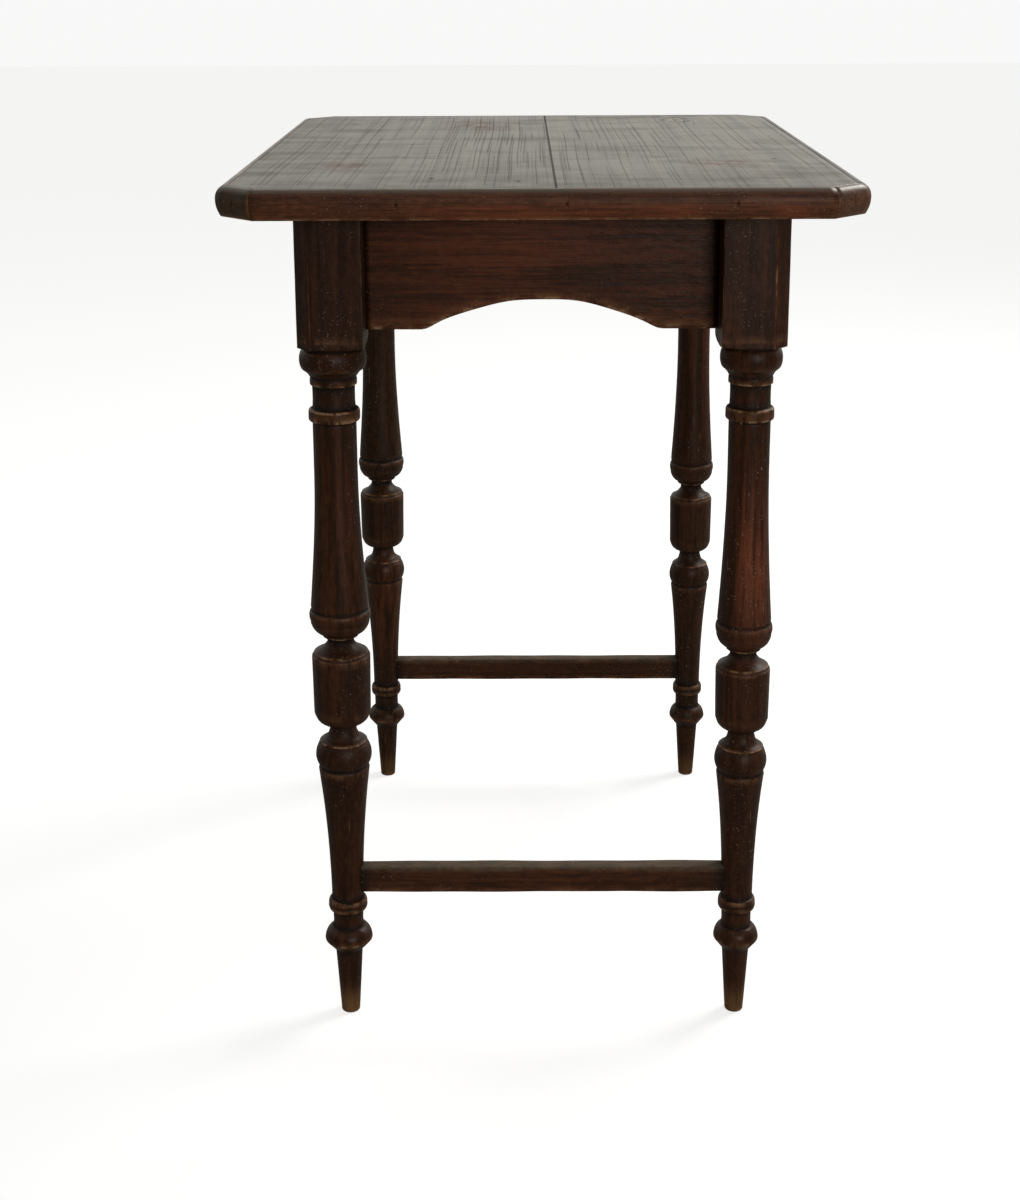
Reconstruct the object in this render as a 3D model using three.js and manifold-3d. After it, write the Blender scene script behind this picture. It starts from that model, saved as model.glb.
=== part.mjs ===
// Vintage sewing table: a small rectangular top on four turned legs.
// Millimetres, +Z up. The origin is on the floor under the middle of the top.
// X runs across the short ends of the table and Y along its long sides.
import * as THREE from "three";
import { mergeVertices } from "three/addons/utils/BufferGeometryUtils.js";
import Module from "manifold-3d";

// Overall size
const TABLE_HEIGHT = 745;
const TOP_WIDTH = 508;
const TOP_LENGTH = 660;
const TOP_THICKNESS = 24;
const UNDERSIDE = TABLE_HEIGHT - TOP_THICKNESS;

// Top: two boards glued edge to edge, with clipped corners
const CORNER_CLIP = 30;
const BOARD_JOINT_X = 10;

// Lipping: strips with a thumbnail edge, mitred at the corners and nailed round the boards
const LIPPING_WIDTH = 9;
const EDGE_RUN = 5;
const EDGE_DROP = 9;
const EDGE_UNDERCUT = 3;
const EDGE_STEPS = 5;
const NAIL_RADIUS = 0.8;
const NAIL_LENGTH = 22;
const NAIL_SINK = 1.6;
const NAIL_HEIGHT = TABLE_HEIGHT - 12.5;
const NAIL_SIDES = 8;

// Legs: a square block above a turned shaft, with the outer arris clipped off the block
const LEG_SPAN_X = 343;
const LEG_SPAN_Y = 493;
const BLOCK = 55;
const BLOCK_CLIP = 12;
const BLOCK_BOTTOM = 608;
const POMMEL_HEIGHT = 6;
const TURNING_SIDES = 18;
const CURVE_STEPS = 3;

// Aprons: their inner faces are flush with the inner faces of the leg blocks
const APRON_THICKNESS = 20;
const APRON_HEIGHT = 102;
const APRON_BOTTOM = UNDERSIDE - APRON_HEIGHT;
const ARCH_RISE = 25;
const ARCH_SHOULDER = 44;
const ARCH_EASE = 16;
const ARCH_STEPS = 20;

// Apron tenons sit nearer the outer face and are mitred where two of them meet in a leg
const TENON_THICKNESS = 8;
const TENON_OUTER = 10;
const TENON_TOP_SHOULDER = 14;
const TENON_BOTTOM_SHOULDER = 8;

// End stretchers
const STRETCHER_BOTTOM = 118;
const STRETCHER_HEIGHT = 24;
const STRETCHER_THICKNESS = 14;
const STRETCHER_TENON_THICKNESS = 8;
const STRETCHER_TENON_HEIGHT = 16;
const STRETCHER_TENON_END = 4;

// Blocks and screws that hold the top down
const CORNER_BLOCK_LEG = 42;
const FIXING_BLOCK_LENGTH = 60;
const FIXING_BLOCK_WIDTH = 26;
const FIXING_HEIGHT = 30;
const SCREW_LENGTH = 44;
const SCREW_SHANK_RADIUS = 2.1;
const SCREW_HEAD_RADIUS = 4.2;
const SCREW_HEAD_HEIGHT = 2.8;
const SCREW_TIP_LENGTH = 6;
const SCREW_SLOT_WIDTH = 1;
const SCREW_SLOT_DEPTH = 1.2;
const SCREW_SIDES = 12;
const SCREW_SINK = 0.6;

// Clearance between parts that touch
const GAP = 0.3;

const STAINED_WOOD = { color: 0x3a211a, roughness: 0.45, metalness: 0 };
const TOP_WOOD = { color: 0x4a352b, roughness: 0.5, metalness: 0 };
const RAW_WOOD = { color: 0x7a5a3c, roughness: 0.8, metalness: 0 };
const SCREW_STEEL = { color: 0x6a6660, roughness: 0.5, metalness: 1 };
const NAIL_IRON = { color: 0x2b2523, roughness: 0.7, metalness: 1 };

// The legs were turned by hand: their beads sit at slightly different heights, and swell is
// how much each one stands out from the slender core, against the average leg.
const LEGS = [
  { name: "leg_front_left", side: -1, end: -1, waistDrop: 0, drumDrop: 0, swell: 1.07 },
  { name: "leg_front_right", side: 1, end: -1, waistDrop: 13, drumDrop: 6, swell: 0.94 },
  { name: "leg_rear_left", side: -1, end: 1, waistDrop: 2, drumDrop: 0, swell: 1 },
  { name: "leg_rear_right", side: 1, end: 1, waistDrop: 8, drumDrop: 6, swell: 0.92 },
];
const CORE_RADIUS = 12;

// The top's edges, and the nails through each strip of lipping: how far from the strip's middle.
const EDGE_NAMES = [
  "front_end",
  "front_right_corner",
  "right_side",
  "rear_right_corner",
  "rear_end",
  "rear_left_corner",
  "left_side",
  "front_left_corner",
];
const END_NAILS = [-112, 18, 148];
const SIDE_NAILS = [-250, -85, 85, 250];
const CORNER_NAILS = [0];

const wasm = await Module();
wasm.setup();

function toSolid(geometry) {
  const bare = geometry.clone();
  bare.deleteAttribute("normal");
  bare.deleteAttribute("uv");
  const merged = mergeVertices(bare, 1e-4);
  return new wasm.Manifold(
    new wasm.Mesh({
      numProp: 3,
      vertProperties: new Float32Array(merged.attributes.position.array),
      triVerts: new Uint32Array(merged.index.array),
    }),
  );
}

function toGeometry(solid) {
  const { vertProperties, triVerts } = solid.getMesh();
  const geometry = new THREE.BufferGeometry();
  geometry.setAttribute("position", new THREE.BufferAttribute(vertProperties, 3));
  geometry.setIndex(new THREE.BufferAttribute(triVerts, 1));
  geometry.computeVertexNormals();
  return geometry;
}

// A box given by its lowest and highest corners.
function boxSolid(low, high) {
  const size = high.map((value, i) => value - low[i]);
  const box = new THREE.BoxGeometry(...size);
  box.translate(...low.map((value, i) => value + size[i] / 2));
  return toSolid(box);
}

// A plan outline in X and Y, raised from one height to another.
function prismSolid(outline, bottom, top) {
  const shape = new THREE.Shape(outline.map(([x, y]) => new THREE.Vector2(x, y)));
  const prism = new THREE.ExtrudeGeometry(shape, { depth: top - bottom, bevelEnabled: false });
  prism.translate(0, 0, bottom);
  return toSolid(prism);
}

// A profile of radius and height, turned about the Z axis.
function turnedSolid(points, sides) {
  const turned = new THREE.LatheGeometry(points, sides);
  turned.rotateX(Math.PI / 2);
  return toSolid(turned);
}

// A closed solid through a stack of plan rings that all have the same number of points.
function stackedSolid(rings) {
  const count = rings[0].length;
  const last = rings.length - 1;
  const index = [];
  for (let level = 0; level < last; level++) {
    for (let i = 0; i < count; i++) {
      const a = level * count + i;
      const b = level * count + ((i + 1) % count);
      index.push(a, b, b + count, a, b + count, a + count);
    }
  }
  for (let i = 1; i < count - 1; i++) {
    index.push(0, i + 1, i);
    index.push(last * count, last * count + i, last * count + i + 1);
  }
  const geometry = new THREE.BufferGeometry();
  geometry.setAttribute("position", new THREE.Float32BufferAttribute(rings.flat(2), 3));
  geometry.setIndex(index);
  return toSolid(geometry);
}

// The top's plan, drawn in from its widest line by an inset. Corners run anticlockwise.
function topOutline(inset) {
  const x = TOP_WIDTH / 2 - inset;
  const y = TOP_LENGTH / 2 - inset;
  const clip = CORNER_CLIP - inset * (2 - Math.SQRT2);
  return [
    [-x + clip, -y],
    [x - clip, -y],
    [x, -y + clip],
    [x, y - clip],
    [x - clip, y],
    [-x + clip, y],
    [-x, y - clip],
    [-x, -y + clip],
  ];
}

function topRing(inset, z) {
  return topOutline(inset).map(([x, y]) => [x, y, z]);
}

// The whole top, with its thumbnail edge: one quarter ellipse under the nose and one over it.
function topSlab() {
  const rings = [];
  const nose = TABLE_HEIGHT - EDGE_DROP;
  for (let i = 0; i <= EDGE_STEPS; i++) {
    const angle = (Math.PI / 2) * (i / EDGE_STEPS);
    const inset = EDGE_UNDERCUT * (1 - Math.sin(angle));
    rings.push(topRing(inset, nose - (nose - UNDERSIDE) * Math.cos(angle)));
  }
  for (let i = 1; i <= EDGE_STEPS; i++) {
    const angle = (Math.PI / 2) * (i / EDGE_STEPS);
    const inset = EDGE_RUN * (1 - Math.cos(angle));
    rings.push(topRing(inset, nose + EDGE_DROP * Math.sin(angle)));
  }
  return stackedSolid(rings);
}

// The eight edges of the top in plan, anticlockwise from the front, each with the nails that
// hold its lipping.
function topEdges() {
  const corners = topOutline(0);
  return EDGE_NAMES.map((name, i) => {
    const from = new THREE.Vector2(...corners[i]);
    const to = new THREE.Vector2(...corners[(i + 1) % corners.length]);
    const along = to.clone().sub(from).normalize();
    const middle = from.clone().lerp(to, 0.5);
    const spots = name.endsWith("corner") ? CORNER_NAILS : name.endsWith("end") ? END_NAILS : SIDE_NAILS;
    const nails = spots.map((spot) => middle.clone().addScaledVector(along, spot));
    return { name, index: i, along, inward: new THREE.Vector2(-along.y, along.x), nails };
  });
}

// A straight round nail driven square into the edge, or the hole for it.
function nailSolid(edge, point, clearance) {
  const start = clearance > 0 ? -NAIL_SINK : NAIL_SINK;
  const length = NAIL_LENGTH + clearance + NAIL_SINK - start;
  const radius = NAIL_RADIUS + clearance;
  const nail = new THREE.CylinderGeometry(radius, radius, length, NAIL_SIDES);
  nail.rotateZ(-Math.PI / 2);
  nail.translate(start + length / 2, 0, NAIL_HEIGHT);
  nail.rotateZ(edge.inward.angle());
  nail.translate(point.x, point.y, 0);
  return toSolid(nail);
}

function lippingStrip(slab, edge) {
  const outer = topOutline(-LIPPING_WIDTH);
  const inner = topOutline(LIPPING_WIDTH);
  const next = (edge.index + 1) % outer.length;
  const nudge = (point, sign) => [
    point[0] + (sign * edge.along.x * GAP) / 2,
    point[1] + (sign * edge.along.y * GAP) / 2,
  ];
  const outline = [
    nudge(outer[edge.index], 1),
    nudge(outer[next], -1),
    nudge(inner[next], -1),
    nudge(inner[edge.index], 1),
  ];
  let strip = slab.intersect(prismSolid(outline, UNDERSIDE - 1, TABLE_HEIGHT + 1));
  for (const point of edge.nails) {
    strip = strip.subtract(nailSolid(edge, point, GAP));
  }
  return { name: `lipping_${edge.name}`, solid: strip, finish: STAINED_WOOD };
}

// Two edge-joined boards, with holes for the screws and nails.
function topBoards() {
  let panel = prismSolid(topOutline(LIPPING_WIDTH + GAP), UNDERSIDE, TABLE_HEIGHT);
  for (const spot of screwSpots()) {
    panel = panel.subtract(screwSolid(spot, GAP));
  }
  for (const edge of topEdges()) {
    for (const point of edge.nails) {
      panel = panel.subtract(nailSolid(edge, point, GAP));
    }
  }
  const reach = TOP_LENGTH;
  const low = UNDERSIDE - 1;
  const high = TABLE_HEIGHT + 1;
  const left = boxSolid([-reach, -reach, low], [BOARD_JOINT_X - GAP / 2, reach, high]);
  const right = boxSolid([BOARD_JOINT_X + GAP / 2, -reach, low], [reach, reach, high]);
  return [
    { name: "top_board_left", solid: panel.intersect(left), finish: TOP_WOOD },
    { name: "top_board_right", solid: panel.intersect(right), finish: TOP_WOOD },
  ];
}

function topLipping() {
  const slab = topSlab();
  return topEdges().map((edge) => lippingStrip(slab, edge));
}

function lippingNails() {
  return topEdges().flatMap((edge) =>
    edge.nails.map((point, i) => ({
      name: `nail_${edge.name}_${i + 1}`,
      solid: nailSolid(edge, point, 0),
      finish: NAIL_IRON,
    })),
  );
}

// One leg's turning, drawn upwards from the tip of the foot as radius and height.
function legProfile({ waistDrop, drumDrop, swell }) {
  const path = new THREE.Path();
  path.moveTo(0, 0);
  path.lineTo(8.1, 0);
  path.lineTo(11.8, 60.5);
  // bulb: a cone up to a sharp rim, then a round shoulder in to the ankle
  path.lineTo(20, 71);
  path.quadraticCurveTo(19.6, 80, 13.2, 84);
  path.lineTo(13.2, 100.5);
  // ankle ring
  path.absellipse(13.4, 105.5, 3.1, 5, -Math.PI / 2, Math.PI / 2);
  path.lineTo(13.7, 112);
  // long taper up to the lower bead
  path.bezierCurveTo(13.8, 145, 15.8, 190, 21.3, 236 - drumDrop);
  path.lineTo(20.6, 238 - drumDrop);
  path.quadraticCurveTo(26.4, 248 - drumDrop, 20.4, 259 - drumDrop);
  path.lineTo(17.6, 262 - drumDrop);
  // lower cove, drum and upper cove
  path.quadraticCurveTo(12.6, 264 - drumDrop, 11.4, 272 - drumDrop);
  path.lineTo(11.4, 276 - drumDrop);
  path.quadraticCurveTo(20, 278 - drumDrop, 23.2, 287 - drumDrop);
  path.lineTo(23.9, 338 - waistDrop);
  path.lineTo(22.6, 341 - waistDrop);
  path.quadraticCurveTo(15, 344 - waistDrop, 11.4, 351 - waistDrop);
  path.lineTo(11.6, 355 - waistDrop);
  path.lineTo(14.8, 357 - waistDrop);
  // upper vase: cup, bead and the column that narrows upwards
  path.quadraticCurveTo(22.5, 360 - waistDrop, 24.8, 370 - waistDrop);
  path.quadraticCurveTo(25.8, 376 - waistDrop, 23, 380 - waistDrop);
  path.lineTo(23.5, 384 - waistDrop);
  path.bezierCurveTo(21.3, 415 - waistDrop, 17.7, 455, 17.7, 505);
  path.lineTo(17.7, 544.5);
  // collar ring, neck and the bead under the block
  path.absellipse(17.7, 550, 2.9, 5.5, -Math.PI / 2, Math.PI / 2);
  path.lineTo(17.2, 560);
  path.lineTo(17.2, 576);
  path.lineTo(19, 577.5);
  path.lineTo(19, 581);
  path.lineTo(24.6, 592);
  path.quadraticCurveTo(27.2, 600, 25.6, BLOCK_BOTTOM);
  path.lineTo(25.6, BLOCK_BOTTOM + POMMEL_HEIGHT);
  path.lineTo(0, BLOCK_BOTTOM + POMMEL_HEIGHT);
  const swollen = (r) => (r > CORE_RADIUS ? CORE_RADIUS + (r - CORE_RADIUS) * swell : r);
  return path.getPoints(CURVE_STEPS).map((p) => new THREE.Vector2(swollen(p.x), p.y));
}

// The square block, with its lower end rounded off on the lathe.
function blockSolid(side, end) {
  const half = BLOCK / 2;
  const outline = [
    [-half, -half],
    [half, -half],
    [half, half],
    [-half, half],
  ].flatMap(([x, y]) => {
    const outer = x * side > 0 && y * end > 0;
    if (!outer) return [[x, y]];
    const alongX = [x - side * BLOCK_CLIP, y];
    const alongY = [x, y - end * BLOCK_CLIP];
    return side * end > 0 ? [alongY, alongX] : [alongX, alongY];
  });
  const pommel = new THREE.Path();
  pommel.moveTo(0, BLOCK_BOTTOM);
  pommel.lineTo(half - 1, BLOCK_BOTTOM);
  pommel.quadraticCurveTo(BLOCK * 0.7, BLOCK_BOTTOM, BLOCK * 0.75, BLOCK_BOTTOM + POMMEL_HEIGHT);
  pommel.lineTo(BLOCK * 0.75, UNDERSIDE);
  pommel.lineTo(0, UNDERSIDE);
  const turned = turnedSolid(pommel.getPoints(CURVE_STEPS), TURNING_SIDES * 2);
  return prismSolid(outline, BLOCK_BOTTOM, UNDERSIDE - GAP).intersect(turned);
}

function legSolid(leg) {
  const turning = turnedSolid(legProfile(leg), TURNING_SIDES);
  const place = [(leg.side * LEG_SPAN_X) / 2, (leg.end * LEG_SPAN_Y) / 2, 0];
  let solid = turning.add(blockSolid(leg.side, leg.end)).translate(place);
  for (const tenon of [endTenon(leg.side, leg.end, GAP), sideTenon(leg.side, leg.end, GAP)]) {
    solid = solid.subtract(tenon);
  }
  return solid.subtract(stretcherTenon(leg.side, leg.end, GAP));
}

// The end apron's tenon in one leg, grown on every side by a clearance to make its mortise.
// Its tip is cut to a mitre, and meets the side apron's tenon there.
function endTenon(side, end, clearance) {
  const axisX = (side * LEG_SPAN_X) / 2;
  const axisY = (end * LEG_SPAN_Y) / 2;
  const outer = TENON_OUTER - clearance;
  const inner = TENON_OUTER + TENON_THICKNESS + clearance;
  const mitre = GAP - clearance;
  const shoulder = BLOCK / 2 + 1;
  const outline = [
    [axisX - side * (outer + mitre), axisY - end * outer],
    [axisX - side * shoulder, axisY - end * outer],
    [axisX - side * shoulder, axisY - end * inner],
    [axisX - side * (inner + mitre), axisY - end * inner],
  ];
  const [bottom, top] = tenonHeights(clearance);
  return prismSolid(outline, bottom, top);
}

// The same joint for the side apron, mirrored about the leg's diagonal.
function sideTenon(side, end, clearance) {
  const axisX = (side * LEG_SPAN_X) / 2;
  const axisY = (end * LEG_SPAN_Y) / 2;
  const outer = TENON_OUTER - clearance;
  const inner = TENON_OUTER + TENON_THICKNESS + clearance;
  const mitre = GAP - clearance;
  const shoulder = BLOCK / 2 + 1;
  const outline = [
    [axisX - side * outer, axisY - end * (outer + mitre)],
    [axisX - side * outer, axisY - end * shoulder],
    [axisX - side * inner, axisY - end * shoulder],
    [axisX - side * inner, axisY - end * (inner + mitre)],
  ];
  const [bottom, top] = tenonHeights(clearance);
  return prismSolid(outline, bottom, top);
}

function tenonHeights(clearance) {
  const bottom = APRON_BOTTOM + TENON_BOTTOM_SHOULDER - clearance;
  const top = UNDERSIDE - TENON_TOP_SHOULDER + clearance;
  return [bottom, top];
}

// An apron's elevation: straight shoulders at the ends and a shallow arch between them.
function apronShape(length) {
  const half = length / 2;
  const reach = half - ARCH_SHOULDER;
  const arch = reach - ARCH_EASE / 2;
  const radius = (arch * arch + ARCH_RISE * ARCH_RISE) / (2 * ARCH_RISE);
  const sweep = Math.asin(arch / radius);
  const easeEnd = Math.asin((arch - ARCH_EASE / 2) / radius);
  const centre = ARCH_RISE - radius;
  const startY = centre + radius * Math.cos(easeEnd);
  const shape = new THREE.Shape();
  shape.moveTo(half, 0);
  shape.lineTo(half, APRON_HEIGHT - GAP);
  shape.lineTo(-half, APRON_HEIGHT - GAP);
  shape.lineTo(-half, 0);
  shape.lineTo(-reach, 0);
  shape.quadraticCurveTo(-radius * Math.sin(sweep), 0, -radius * Math.sin(easeEnd), startY);
  shape.absarc(0, centre, radius, Math.PI / 2 + easeEnd, Math.PI / 2 - easeEnd, true);
  shape.quadraticCurveTo(radius * Math.sin(sweep), 0, reach, 0);
  return shape;
}

function apronBoard(length) {
  const board = new THREE.ExtrudeGeometry(apronShape(length), {
    depth: APRON_THICKNESS,
    bevelEnabled: false,
    curveSegments: ARCH_STEPS,
  });
  board.rotateX(Math.PI / 2);
  board.translate(0, APRON_THICKNESS / 2, APRON_BOTTOM);
  return board;
}

function endApron(name, end) {
  const board = apronBoard(LEG_SPAN_X - BLOCK - 2 * GAP);
  board.translate(0, (end * (LEG_SPAN_Y - BLOCK + APRON_THICKNESS)) / 2, 0);
  const solid = toSolid(board).add(endTenon(-1, end, 0)).add(endTenon(1, end, 0));
  return { name, solid, finish: STAINED_WOOD };
}

function sideApron(name, side) {
  const board = apronBoard(LEG_SPAN_Y - BLOCK - 2 * GAP);
  board.rotateZ(Math.PI / 2);
  board.translate((side * (LEG_SPAN_X - BLOCK + APRON_THICKNESS)) / 2, 0, 0);
  const solid = toSolid(board).add(sideTenon(side, -1, 0)).add(sideTenon(side, 1, 0));
  return { name, solid, finish: STAINED_WOOD };
}

// The stretcher's tenon in one leg, grown by a clearance to make its mortise.
function stretcherTenon(side, end, clearance) {
  const axisX = (side * LEG_SPAN_X) / 2;
  const axisY = (end * LEG_SPAN_Y) / 2;
  const tip = axisX - side * (STRETCHER_TENON_END - clearance);
  const root = axisX - side * BLOCK;
  const halfThickness = STRETCHER_TENON_THICKNESS / 2 + clearance;
  const middle = STRETCHER_BOTTOM + STRETCHER_HEIGHT / 2;
  const halfHeight = STRETCHER_TENON_HEIGHT / 2 + clearance;
  return boxSolid(
    [Math.min(tip, root), axisY - halfThickness, middle - halfHeight],
    [Math.max(tip, root), axisY + halfThickness, middle + halfHeight],
  );
}

// A rail between two legs, its shoulders scribed to their round shafts.
function endStretcher(name, end) {
  const y = (end * LEG_SPAN_Y) / 2;
  let rail = boxSolid(
    [-LEG_SPAN_X / 2, y - STRETCHER_THICKNESS / 2, STRETCHER_BOTTOM],
    [LEG_SPAN_X / 2, y + STRETCHER_THICKNESS / 2, STRETCHER_BOTTOM + STRETCHER_HEIGHT],
  );
  for (const leg of LEGS.filter((each) => each.end === end)) {
    const grown = legProfile(leg).map((p) => new THREE.Vector2(p.x > 0 ? p.x + GAP : 0, p.y));
    const shaft = turnedSolid(grown, TURNING_SIDES);
    rail = rail.subtract(shaft.translate([(leg.side * LEG_SPAN_X) / 2, y, 0]));
  }
  for (const side of [-1, 1]) {
    rail = rail.add(stretcherTenon(side, end, 0));
  }
  return { name, solid: rail, finish: STAINED_WOOD };
}

// Where the screws stand: one in each corner block and one in each side fixing block.
function screwSpots() {
  const innerX = (LEG_SPAN_X - BLOCK) / 2;
  const innerY = (LEG_SPAN_Y - BLOCK) / 2;
  const inset = CORNER_BLOCK_LEG * 0.3;
  const corners = LEGS.map((leg) => ({
    name: leg.name.replace("leg", "screw"),
    x: leg.side * (innerX - inset),
    y: leg.end * (innerY - inset),
  }));
  const sides = [-1, 1].map((side) => ({
    name: side < 0 ? "screw_side_left" : "screw_side_right",
    x: side * (innerX - FIXING_BLOCK_WIDTH / 2),
    y: 0,
  }));
  return [...corners, ...sides];
}

// A countersunk wood screw pointing up, grown by a clearance to make its hole.
function screwProfile(clearance) {
  const head = UNDERSIDE - FIXING_HEIGHT + SCREW_SINK;
  const tip = head + SCREW_LENGTH + clearance;
  const shank = SCREW_SHANK_RADIUS + clearance;
  const rim = SCREW_HEAD_RADIUS + clearance;
  const start = clearance > 0 ? head - SCREW_HEAD_HEIGHT : head;
  return [
    new THREE.Vector2(0, start),
    new THREE.Vector2(rim, start),
    new THREE.Vector2(rim, head + clearance),
    new THREE.Vector2(shank, head + clearance + SCREW_HEAD_HEIGHT),
    new THREE.Vector2(shank, tip - SCREW_TIP_LENGTH),
    new THREE.Vector2(0, tip),
  ].filter((point, i, all) => i === 0 || point.distanceTo(all[i - 1]) > 0);
}

function screwSolid(spot, clearance) {
  return turnedSolid(screwProfile(clearance), SCREW_SIDES).translate([spot.x, spot.y, 0]);
}

function screw(spot) {
  const head = UNDERSIDE - FIXING_HEIGHT + SCREW_SINK;
  const slot = boxSolid(
    [spot.x - SCREW_SLOT_WIDTH / 2, spot.y - 2 * SCREW_HEAD_RADIUS, head - 1],
    [spot.x + SCREW_SLOT_WIDTH / 2, spot.y + 2 * SCREW_HEAD_RADIUS, head + SCREW_SLOT_DEPTH],
  );
  return { name: spot.name, solid: screwSolid(spot, 0).subtract(slot), finish: SCREW_STEEL };
}

// A three-cornered block in the angle between two aprons.
function cornerBlock(leg, spot) {
  const x = leg.side * ((LEG_SPAN_X - BLOCK) / 2 - GAP);
  const y = leg.end * ((LEG_SPAN_Y - BLOCK) / 2 - GAP);
  const corners = [
    [x, y],
    [x - leg.side * CORNER_BLOCK_LEG, y],
    [x, y - leg.end * CORNER_BLOCK_LEG],
  ];
  const outline = leg.side * leg.end > 0 ? corners : corners.reverse();
  const block = prismSolid(outline, UNDERSIDE - FIXING_HEIGHT, UNDERSIDE - GAP);
  return {
    name: leg.name.replace("leg", "corner_block"),
    solid: block.subtract(screwSolid(spot, GAP)),
    finish: RAW_WOOD,
  };
}

// A block against the middle of a side apron.
function fixingBlock(name, side, spot) {
  const outer = side * ((LEG_SPAN_X - BLOCK) / 2 - GAP);
  const inner = outer - side * FIXING_BLOCK_WIDTH;
  const block = boxSolid(
    [Math.min(outer, inner), -FIXING_BLOCK_LENGTH / 2, UNDERSIDE - FIXING_HEIGHT],
    [Math.max(outer, inner), FIXING_BLOCK_LENGTH / 2, UNDERSIDE - GAP],
  );
  return { name, solid: block.subtract(screwSolid(spot, GAP)), finish: RAW_WOOD };
}

function tableParts() {
  const spots = screwSpots();
  return [
    ...topBoards(),
    ...topLipping(),
    ...lippingNails(),
    ...LEGS.map((leg) => ({ name: leg.name, solid: legSolid(leg), finish: STAINED_WOOD })),
    endApron("apron_front_end", -1),
    endApron("apron_rear_end", 1),
    sideApron("apron_left_side", -1),
    sideApron("apron_right_side", 1),
    endStretcher("stretcher_front_end", -1),
    endStretcher("stretcher_rear_end", 1),
    ...LEGS.map((leg, i) => cornerBlock(leg, spots[i])),
    fixingBlock("fixing_block_left", -1, spots[4]),
    fixingBlock("fixing_block_right", 1, spots[5]),
    ...spots.map((spot) => screw(spot)),
  ];
}

const table = new THREE.Group();
for (const { name, solid, finish } of tableParts()) {
  const mesh = new THREE.Mesh(toGeometry(solid), new THREE.MeshStandardMaterial(finish));
  mesh.name = name;
  table.add(mesh);
}

export default table;
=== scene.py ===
import math

import bpy
import numpy as np
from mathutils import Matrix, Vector


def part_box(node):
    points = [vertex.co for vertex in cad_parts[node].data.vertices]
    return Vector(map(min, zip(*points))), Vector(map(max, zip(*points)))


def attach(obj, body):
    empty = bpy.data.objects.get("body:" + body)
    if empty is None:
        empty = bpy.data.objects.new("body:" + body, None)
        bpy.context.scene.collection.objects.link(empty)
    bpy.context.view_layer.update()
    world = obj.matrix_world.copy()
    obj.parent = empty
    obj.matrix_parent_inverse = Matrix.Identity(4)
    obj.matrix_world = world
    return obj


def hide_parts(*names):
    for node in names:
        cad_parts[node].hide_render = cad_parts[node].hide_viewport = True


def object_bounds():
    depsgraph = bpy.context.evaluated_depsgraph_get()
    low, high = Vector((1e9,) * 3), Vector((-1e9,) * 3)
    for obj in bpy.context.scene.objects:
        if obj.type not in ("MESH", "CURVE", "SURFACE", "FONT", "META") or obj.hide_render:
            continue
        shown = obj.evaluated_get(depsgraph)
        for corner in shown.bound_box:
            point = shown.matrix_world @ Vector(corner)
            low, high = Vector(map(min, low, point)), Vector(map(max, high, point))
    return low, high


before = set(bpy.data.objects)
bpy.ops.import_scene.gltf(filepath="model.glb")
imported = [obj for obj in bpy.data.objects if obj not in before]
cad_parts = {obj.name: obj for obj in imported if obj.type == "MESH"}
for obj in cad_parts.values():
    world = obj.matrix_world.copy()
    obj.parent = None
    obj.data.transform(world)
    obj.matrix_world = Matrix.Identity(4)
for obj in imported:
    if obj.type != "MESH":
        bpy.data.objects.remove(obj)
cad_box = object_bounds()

# A vintage sewing table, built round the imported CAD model.
# Shapes are worked out in millimetres, in the model's own frame: X runs across the short ends,
# Y along the long sides, the front end is at -Y and Z is up.
MM = 0.001
HALF_WIDTH, HALF_LENGTH, TABLE_HEIGHT = np.array(cad_box[1]) / MM

# Legs: heights that all four share, the clip of the block's outer arris, and the turned core
BLOCK_BOTTOM = 608
LEG_TOP = 720.7
BLOCK_CLIP = 12
CORE_RADIUS = 12
PALE_FOOT_HEIGHT = 32
RUB_AND_HIGHLIGHT_SPREAD = 62

# The legs were turned by hand. The two drops move the waist and the drum down, and swell says
# how far the mouldings stand out from the core, against the average leg. Then come how pale the
# foot has worn, how red the leg's front is, and at what height: rubbed red, and partly a painted
# highlight where the light falls on the front, a little to the right.
LEGS = {
    "front_left": {
        "waist": 0, "drum": 0, "swell": 1.07, "pale_foot": 1.0, "rub": 0.25, "rub_and_highlight_at": 470
    },
    "front_right": {
        "waist": 13, "drum": 6, "swell": 0.94, "pale_foot": 0.8, "rub": 1.0, "rub_and_highlight_at": 430
    },
    "rear_left": {
        "waist": 2, "drum": 0, "swell": 1.0, "pale_foot": 0.7, "rub": 0.4, "rub_and_highlight_at": 200
    },
    "rear_right": {
        "waist": 8, "drum": 6, "swell": 0.92, "pale_foot": 0.5, "rub": 0.3, "rub_and_highlight_at": 500
    },
}

# Aprons and stretchers
APRONS = ["apron_front_end", "apron_rear_end", "apron_left_side", "apron_right_side"]
STRETCHERS = ["stretcher_front_end", "stretcher_rear_end"]
ARCH_RISE = 25
ARCH_SHOULDER = 44
ARCH_EASE = 9
RAIL_STEP = 4
JOINT_GAP = 0.3
STRETCHER_TENON = 8

# Lipping, anticlockwise from the front
EDGES = [
    "front_end",
    "front_right_corner",
    "right_side",
    "rear_right_corner",
    "rear_end",
    "rear_left_corner",
    "left_side",
    "front_left_corner",
]
LIPPING_WIDTH = 9
CORNER_CLIP = 30
EDGE_RUN = 7
EDGE_DROP = 10
EDGE_UNDERCUT = 4
LIPPING_STEP = 5
NAIL_RADIUS = 0.8
NAIL_DEPTH_BELOW_TOP = 12.5
NAIL_SINK = 1.7
# where the front lipping has gone red: distance along it from its middle, and spread
REDDENED = [(-25, 60), (40, 22), (98, 26), (190, 14)]

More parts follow.
